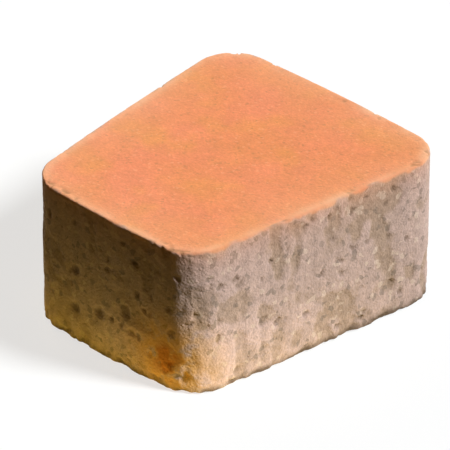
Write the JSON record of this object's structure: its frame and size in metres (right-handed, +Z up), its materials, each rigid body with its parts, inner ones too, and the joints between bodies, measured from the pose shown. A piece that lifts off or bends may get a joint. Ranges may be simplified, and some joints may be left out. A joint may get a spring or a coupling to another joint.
{
  "type": "concrete paving stone",
  "caption": "Trapezoid cobble-shaped concrete paver with slightly bowed sides, well-rounded corners and a terracotta face, for laying head to tail as a path or yard surface.",
  "frame": {"origin": "middle of the bed face, which lies on the ground", "axes": "+Z up through the walking face; +Y along the stone's length, from the narrow end to the wide end; +X across it"},
  "size_m": [0.1102, 0.122, 0.06],
  "materials": {
    "concrete": "matte"
  },
  "bodies": {
    "root": {"paving_stone": "concrete"}
  },
  "joints": []
}
